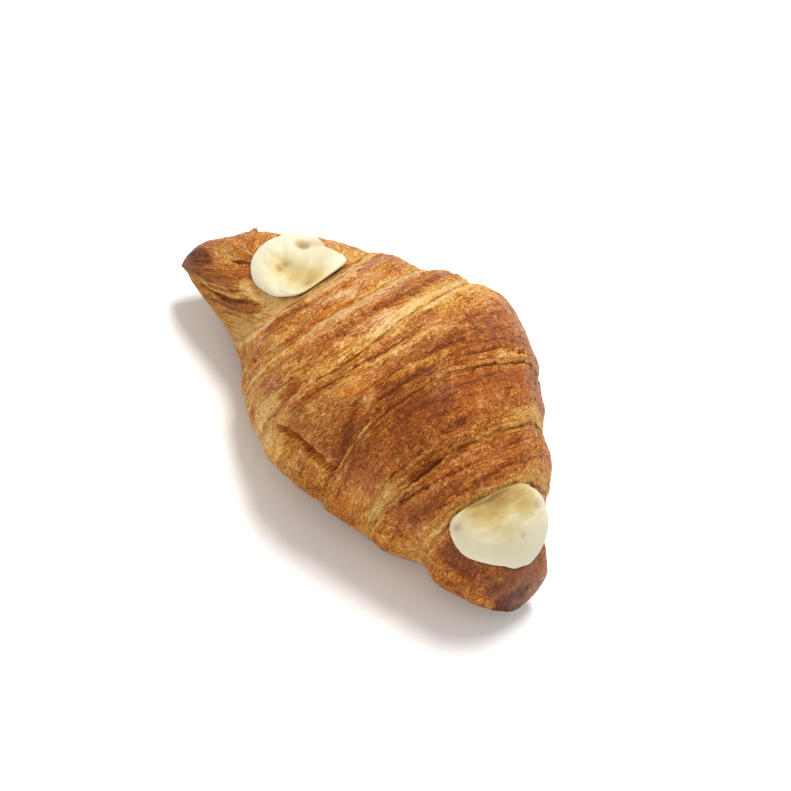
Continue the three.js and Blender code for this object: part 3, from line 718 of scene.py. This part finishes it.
def make_pastry():
    shape = pastry_shape()
    start = skin(np.array(-1.0), np.array(0.0), 0.0)
    end = skin(np.array(1.0), np.array(0.0), 0.0)
    verts, faces = closed_grid(shape["points"], start, end)
    scale, offset = fit_to_box(verts.min(axis=0), verts.max(axis=0), *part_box("pastry"))
    piece = make_mesh("croissant_pastry", (verts * scale + offset) * MM, faces)
    for name in ("flow", "tone", "tint"):
        add_numbers(piece.data, name, with_poles(shape[name]))
    piece.data.materials.append(crust_material())
    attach(piece, "root")
    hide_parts("pastry")
    return scale, offset


# ----------------------------------------------- the cream


CREAM_ROWS, CREAM_COLUMNS = 72, 150
CREAM_TOP_ROWS = 50
CREAM_SEAT = 0.45
CREAM_NECK, NECK_POWER = 0.84, 8
PILLOW_POWER = 0.72

# Dents in each dollop: along and around from its middle, radius and depth in mm, yellow tint (custard
# yellow mixed with painted shade) and painted shade; a dent of no depth only paints
FAR_DENTS = [
    (-4.0, 6.0, 6.0, 2.4, 0.75, 0.0),
    (2.5, 6.5, 6.0, 2.4, 0.85, 0.05),
    (8.0, 5.5, 5.5, 2.0, 0.95, 0.2),
    (-4.3, 7.0, 1.5, 0.8, 0.7, 0.8),
    (-3.7, 4.5, 1.3, 0.6, 0.6, 0.6),
    (9.2, 7.3, 2.0, 0.6, 0.8, 0.6),
    (-2.8, -4.5, 2.6, 2.4, 0.4, 1.0),
    (1.0, -7.0, 3.0, 0.3, 0.1, 0.5),
    (5.5, -3.0, 4.5, 0.2, 0.3, 0.2),
]
NEAR_DENTS = [
    (-6.8, 2.5, 5.5, 2.5, 1.0, 0.6),
    (-6.0, 8.5, 5.0, 1.8, 0.9, 0.35),
    (-2.0, 5.0, 6.5, 1.6, 0.8, 0.2),
    (-1.0, -3.5, 5.0, 0.8, 0.8, 0.2),
    # Tint only, no depth: painted shade below the overhanging lip
    (-9.5, 2.5, 10.0, 0.0, 1.0, 0.9),
    (-10.0, 7.5, 6.5, 0.0, 1.0, 0.9),
    (-3.5, -3.0, 5.5, 0.0, 0.8, 0.35),
    (-8.5, 11.0, 3.5, 0.0, 0.6, 0.5),
    (3.5, 2.0, 6.0, 0.0, 0.5, 0.0),
    (-5.9, 15.4, 2.2, 0.5, 0.2, 0.7),
    (0.4, -8.3, 2.4, 0.6, 0.1, 0.45),
    (8.0, -1.3, 1.0, 0.3, 0.1, 0.35),
    (3.5, -5.5, 0.9, 0.3, 0.1, 0.3),
]


def cream_profile(row):
    """Share of the outline and height share of a row; the pillow tops a narrower neck."""
    if row < CREAM_TOP_ROWS:
        turn = 0.5 * math.pi * (row + 1) / CREAM_TOP_ROWS
        return math.sin(turn) ** PILLOW_POWER, max(0.0, math.cos(turn)) ** PILLOW_POWER
    down = (row - CREAM_TOP_ROWS + 1) / (CREAM_ROWS - CREAM_TOP_ROWS + 1)
    neck = mix(1.0, CREAM_NECK, float(smooth_step(0.0, 0.18, down)))
    return neck * math.sqrt(1.0 - down**NECK_POWER), -down


def cream_shape(cream, dents, seed):
    """Points of a dollop with the tint its material reads: yellow, and painted shade in its dents and under
    the near lip.
    """
    along_scale, around_scale = cream_scales(cream)
    direction = np.linspace(0.0, math.tau, CREAM_COLUMNS, endpoint=False)
    reach = cream_reach(cream, direction)
    share, height = (np.array(v)[:, None] for v in zip(*[cream_profile(r) for r in range(CREAM_ROWS)]))
    along = share * reach * np.cos(direction)
    around = share * reach * np.sin(direction)
    u = cream["u"] + along / along_scale
    angle = math.radians(cream["angle"]) + around / around_scale
    out = CREAM_SEAT + np.where(height > 0, cream["rise"], cream["sink"] + CREAM_SEAT) * height
    on_top = smooth_step(0.15, 0.7, height)

    place = np.stack([along, around, np.zeros_like(along)], axis=-1)
    lump = layered_noise(place / 6.0, seed, 3) + 0.35 * layered_noise(place / 2.2, seed + 5, 2)
    out = out + 0.4 * lump * on_top
    yellow_and_shade, painted_shade = np.zeros_like(along), np.zeros_like(along)
    # Each dent sinks the top and tints it yellow and with painted shade; the shade reaches out to the
    # dollop's rim
    for dent_along, dent_around, radius, depth, tint, shade_share in dents:
        far_off = ((along - dent_along) ** 2 + (around - dent_around) ** 2) / radius**2
        hollow = np.exp(-far_off)
        out = out - depth * hollow * on_top
        yellow_and_shade = np.maximum(yellow_and_shade, tint * hollow)
        painted_shade = np.maximum(painted_shade, shade_share * np.exp(-1.6 * far_off))
    return skin(u, angle, out), np.stack([yellow_and_shade, painted_shade, np.zeros_like(along)], axis=-1)


def make_cream(name, node, cream, dents, seed, fit, material):
    points, tint = cream_shape(cream, dents, seed)
    verts, faces = closed_grid(points, points[0].mean(axis=0), points[-1].mean(axis=0))
    scale, offset = fit
    piece = make_mesh(name, (verts * scale + offset) * MM, faces)
    add_numbers(piece.data, "tint", with_poles(tint))
    piece.data.materials.append(material)
    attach(piece, "root")
    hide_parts(node)


# ----------------------------------------------- materials


class Tree:
    """Short names for building a material's nodes."""

    def __init__(self, name):
        self.material = bpy.data.materials.new(name)
        self.material.use_nodes = True
        self.tree = self.material.node_tree
        self.tree.nodes.clear()
        self.shader = self.node("BsdfPrincipled")
        self.node("OutputMaterial", {"Surface": self.shader.outputs["BSDF"]})

    def fill(self, node, inputs):
        """Links or sets a node's inputs, each found by its name or place."""
        for key, value in inputs.items():
            if isinstance(value, bpy.types.NodeSocket):
                self.tree.links.new(value, node.inputs[key])
            else:
                node.inputs[key].default_value = value

    def node(self, kind, inputs=None, **settings):
        made = self.tree.nodes.new("ShaderNode" + kind)
        for key, value in settings.items():
            setattr(made, key, value)
        self.fill(made, inputs or {})
        return made

    def math(self, operation, a, b=0.0, c=0.0, clamp=False):
        inputs = {0: a, 1: b, 2: c}
        return self.node("Math", inputs, operation=operation, use_clamp=clamp).outputs[0]

    def blend(self, base, *parts):
        """base with the value * share of each (value, share) part added"""
        for value, share in parts:
            base = self.math("MULTIPLY_ADD", value, share, base)
        return base

    def vector(self, name):
        """A per-vertex vector."""
        return self.node("Attribute", attribute_name=name).outputs["Vector"]

    def numbers(self, name):
        """The three numbers of a per-vertex vector."""
        return tuple(self.node("SeparateXYZ", {0: self.vector(name)}).outputs)

    def noise(self, vector, scale, shift=(0.0, 0.0, 0.0), detail=4.0, roughness=0.55):
        """Noise centred on zero, about -0.5 to 0.5."""
        inputs = {0: vector, 1: scale, 2: shift}
        place = self.node("VectorMath", inputs, operation="MULTIPLY_ADD").outputs[0]
        inputs = {"Vector": place, "Scale": 1.0, "Detail": detail, "Roughness": roughness}
        return self.math("SUBTRACT", self.node("TexNoise", inputs).outputs["Fac"], 0.5)

    def between(self, value, low, high, to_low=0.0, to_high=1.0):
        """From to_low at low to to_high at high, eased at both ends."""
        inputs = {0: value, 1: low, 2: high, 3: to_low, 4: to_high}
        return self.node("MapRange", inputs, interpolation_type="SMOOTHSTEP").outputs[0]

    def ramp(self, value, stops):
        """A colour read from (place, red, green, blue) stops."""
        made = self.node("ValToRGB", {0: value})
        elements = made.color_ramp.elements
        while len(elements) < len(stops):
            elements.new(0.5)
        for element, (place, *color) in zip(elements, stops):
            element.position = place
            element.color = srgb(*color)
        return made.outputs[0]

    def mix_color(self, share, a, b):
        return self.node("Mix", {0: share, 6: a, 7: b}, data_type="RGBA").outputs[2]

    def bump(self, height, strength, distance):
        inputs = {"Height": height, "Strength": strength, "Distance": distance}
        return self.node("Bump", inputs).outputs[0]


def srgb(red, green, blue):
    """A colour given as 0 to 255 screen values, in the linear numbers a shader takes."""
    def linear(value):
        share = value / 255.0
        return share / 12.92 if share <= 0.04045 else ((share + 0.055) / 1.055) ** 2.4

    return (linear(red), linear(green), linear(blue), 1.0)


# Colours as 0 to 255 screen values; on a ramp, from pale to dark, each comes after its place
SKIN_COLORS = [(0.0, 218, 186, 146), (0.25, 204, 161, 116), (0.45, 185, 126, 68), (0.62, 162, 94, 26),
               (0.80, 138, 68, 6), (1.0, 96, 42, 2)]
LEAF_COLORS = [(0.0, 222, 192, 140), (0.25, 208, 169, 102), (0.45, 190, 134, 52), (0.62, 165, 98, 10),
               (0.80, 136, 66, 2), (1.0, 92, 40, 0)]
AMBER_COLORS = [(0.1, 214, 140, 48), (0.5, 190, 102, 24), (0.9, 130, 60, 16)]
# The second colour is painted shade for the insides of gaps and cracks
CHAR_COLOR, GAP_SHADE_COLOR = (70, 26, 6), (96, 48, 22)
# The cream ramp's dark end is tan: painted shade in the hollows and under the near lip, mixed with the
# custard's yellow
CREAM_COLORS = [(0.0, 210, 205, 187), (0.3, 205, 197, 167), (0.7, 190, 168, 106), (1.0, 170, 142, 76)]
# Painted shade on the cream, in its dents and under the overhanging near lip
PAINTED_SHADE_COLOR = (150, 114, 62)


def crust_material():
    t = Tree("baked_crust")
    flow = t.vector("flow")
    bake, leaf, gap_shade = t.numbers("tone")
    wash, amber, burn = t.numbers("tint")

    def layer(across, around, shift=(0.0, 0.0, 0.0), **settings):
        """Noise with so many cells to the millimetre across and round the wraps."""
        return t.noise(flow, (across, around, around), shift, **settings)

    streak = layer(0.55, 0.04, detail=6.0, roughness=0.62)
    fine_streak = layer(1.25, 0.06, (11.0, 3.0, 7.0), detail=5.0, roughness=0.6)
    mottle = layer(0.22, 0.13, (5.0, 5.0, 1.0), detail=6.0, roughness=0.65)
    speck = layer(0.9, 0.6, (2.0, 9.0, 4.0), detail=5.0, roughness=0.75)
    grain = layer(2.2, 1.7, (8.0, 1.0, 6.0), detail=3.0, roughness=0.8)
    patch = layer(0.12, 0.07, (9.0, 3.0, 2.0), detail=3.0)

    # Pale flecks, partly painted glints, and small scorched spots on the blistered skin
    flecks_and_glints = t.between(layer(0.75, 0.55, (7.0, 2.0, 5.0), roughness=0.6), 0.05, 0.11)
    scorches = t.between(layer(0.62, 0.38, (4.0, 6.0, 3.0)), 0.09, 0.15)

    # Thin plates of dough, each a little different, ending in ragged edges along the wraps
    plate_level = t.math("MULTIPLY", layer(0.28, 0.07, (3.0, 7.0, 2.0), detail=6.0, roughness=0.6), 9.0)
    tread = t.math("FLOOR", plate_level)
    part = t.math("FRACT", plate_level)
    plates = t.math("ADD", tread, t.between(part, 0.8, 1.0))
    rim = t.math("MULTIPLY", t.between(part, 0.72, 0.86), t.between(part, 0.9, 1.0, 1.0, 0.0))
    plate_tone = t.math("SINE", t.math("MULTIPLY", tread, 2.3))

    def hairline(wander, width, cover, cover_from):
        """A thin line where a noise crosses zero, broken up by another."""
        line = t.between(t.math("ABSOLUTE", wander), 0.0, width, 1.0, 0.0)
        return t.math("MULTIPLY", line, t.between(cover, cover_from, -cover_from))

    # Cracks darkened with painted shade, and pale threads, that wander along the wraps
    crack_shade = hairline(layer(0.36, 0.035, (1.0, 4.0, 9.0), detail=3.0, roughness=0.5), 0.020, mottle, -0.06)
    thread = hairline(layer(0.50, 0.045, (6.0, 8.0, 2.0), detail=3.0, roughness=0.5), 0.016, speck, -0.05)

    # How dark each spot is baked, from 0 to 1
    value = t.blend(
        t.math("ADD", bake, 0.06),
        (streak, 0.23), (patch, 0.24), (mottle, 0.26), (speck, 0.22),
        (fine_streak, t.math("MULTIPLY_ADD", leaf, 0.40, 0.41)), (grain, 1.6),
        (flecks_and_glints, -0.19), (scorches, 0.18), (plate_tone, 0.035), (rim, 0.10),
        (crack_shade, 0.24), (thread, -0.23), (leaf, -0.16),
    )
    # Painted shade: gaps and cracks darkened and browned
    value = t.math("MULTIPLY_ADD", gap_shade, 0.30, value, clamp=True)

    color = t.mix_color(wash, t.ramp(value, LEAF_COLORS), t.ramp(value, SKIN_COLORS))
    glow = t.math("MULTIPLY", amber, t.between(mottle, -0.08, 0.08, 0.2, 1.0), clamp=True)
    color = t.mix_color(t.math("MULTIPLY", glow, 0.75), color, t.ramp(value, AMBER_COLORS))
    charred = t.blend(burn, (speck, 1.8), (mottle, 0.8), (grain, 1.5))
    char = t.between(charred, 0.38, 1.1, 0.0, 0.85)
    color = t.mix_color(char, color, srgb(*CHAR_COLOR))
    color = t.mix_color(t.math("MULTIPLY", gap_shade, 0.35), color, srgb(*GAP_SHADE_COLOR))

    height = t.blend(
        t.math("MULTIPLY", plates, 0.30),
        (fine_streak, t.math("MULTIPLY_ADD", leaf, 0.9, 0.7)), (speck, 0.35), (grain, 0.6),
        (crack_shade, -0.7), (thread, 0.5),
    )

    # The washed skin is glossier, and what is charred is dull
    rough = t.blend(t.math("MULTIPLY_ADD", wash, -0.16, 0.60), (speck, 0.3), (char, 0.3))
    t.fill(t.shader, {
        "Base Color": color,
        "Roughness": rough,
        "Specular IOR Level": 0.15,
        "Coat Weight": t.math("MULTIPLY", wash, 0.07),
        "Coat Roughness": 0.32,
        "Subsurface Weight": 0.10,
        "Subsurface Radius": (1.0, 0.45, 0.18),
        "Subsurface Scale": 0.0016,
        "Normal": t.bump(height, 0.75, 0.0008),
    })
    return t.material


def cream_material():
    t = Tree("custard_cream")
    position = t.node("TexCoord").outputs["Object"]
    yellow_and_shade, painted_shade, _ = t.numbers("tint")
    cloud = t.noise(position, (130.0,) * 3)
    value = t.blend(t.math("MULTIPLY_ADD", yellow_and_shade, 0.7, 0.15), (cloud, 0.35))
    # Painted shade: the tint darkens the cream towards tan in its dents and under the near lip
    shade_mix = t.math("MULTIPLY", painted_shade, t.between(cloud, -0.2, 0.1, 0.5, 1.0), clamp=True)
    grain = t.noise(position, (800.0,) * 3, detail=3.0)
    swirl = t.noise(position, (260.0,) * 3, (3.0, 1.0, 2.0), detail=3.0)
    t.fill(t.shader, {
        "Base Color": t.mix_color(shade_mix, t.ramp(value, CREAM_COLORS), srgb(*PAINTED_SHADE_COLOR)),
        "Roughness": 0.52,
        "Specular IOR Level": 0.3,
        "Subsurface Weight": 0.4,
        "Subsurface Radius": (1.0, 0.8, 0.42),
        "Subsurface Scale": 0.0028,
        "Normal": t.bump(t.blend(grain, (swirl, 2.0)), 0.25, 0.0004),
    })
    return t.material


def floor_material():
    t = Tree("pale_floor")
    t.fill(t.shader, {"Base Color": (0.93, 0.93, 0.93, 1.0), "Roughness": 0.9, "Specular IOR Level": 0.1})
    return t.material


# ------------------------------------------ stage and view


FLOOR_HALF_SIZE = 4.0
FLOOR_DROP = 0.0002


def make_floor():
    size = FLOOR_HALF_SIZE
    corners = np.array([(-size, -size, 0), (size, -size, 0), (size, size, 0), (-size, size, 0)], float)
    corners[:, 2] = -FLOOR_DROP
    floor = make_mesh("floor", corners, [(0, 1, 2, 3)])
    floor.data.materials.append(floor_material())


# Studio light: a white surround, and two disks aimed at the middle of the croissant
SURROUND_STRENGTH = 0.55
LIGHT_AIM = (0.0, 0.0, 0.02)
KEY = dict(place=(-0.26, 0.28, 1.02), size=0.45, power=13.2, color=(1.0, 0.985, 0.96))
FILL = dict(place=(0.55, -0.70, 0.55), size=0.8, power=3.0, color=(1.0, 0.91, 0.76))


def area_light(name, place, size, power, color):
    data = bpy.data.lights.new(name, "AREA")
    data.shape = "DISK"
    data.size = size
    data.energy = power
    data.color = color
    lamp = bpy.data.objects.new(name, data)
    lamp.location = place
    lamp.rotation_euler = (Vector(LIGHT_AIM) - Vector(place)).to_track_quat("-Z", "Y").to_euler()
    bpy.context.scene.collection.objects.link(lamp)


def make_light():
    world = bpy.data.worlds.new("studio")
    world.use_nodes = True
    background = world.node_tree.nodes["Background"]
    background.inputs["Color"].default_value = (1.0, 1.0, 1.0, 1.0)
    background.inputs["Strength"].default_value = SURROUND_STRENGTH
    bpy.context.scene.world = world
    area_light("key", **KEY)
    area_light("fill", **FILL)


# The camera: how it looks at the croissant, and where in the picture its aim falls
AZIMUTH, ELEVATION, ROLL = 35.95, 51.33, 22.0
DISTANCE = 0.650
FOCAL_SHARE = 2.6938
AIM = (0.0, 0.0, 0.025)
SHIFT = (0.0323, 0.0171)


def make_camera(offset):
    azimuth, elevation, roll = (math.radians(v) for v in (AZIMUTH, ELEVATION, ROLL))
    turn = (
        Matrix.Rotation(azimuth, 4, "Z")
        @ Matrix.Rotation(0.5 * math.pi - elevation, 4, "X")
        @ Matrix.Rotation(roll, 4, "Z")
    )
    target = Vector(offset) * MM + Vector(AIM)
    data = bpy.data.cameras.new("camera")
    data.sensor_width = 36.0
    data.lens = data.sensor_width * FOCAL_SHARE
    data.shift_x, data.shift_y = SHIFT
    camera = bpy.data.objects.new("camera", data)
    camera.matrix_world = Matrix.Translation(target) @ turn @ Matrix.Translation((0.0, 0.0, DISTANCE))
    bpy.context.scene.collection.objects.link(camera)
    bpy.context.scene.camera = camera


def main():
    fit = make_pastry()
    cream = cream_material()
    make_cream("croissant_cream_far", "cream_far", FAR_CREAM, FAR_DENTS, FAR_SEED, fit, cream)
    make_cream("croissant_cream_near", "cream_near", NEAR_CREAM, NEAR_DENTS, NEAR_SEED, fit, cream)
    make_floor()
    make_light()
    make_camera(fit[1])
    bpy.context.scene.view_settings.view_transform = "Standard"


main()
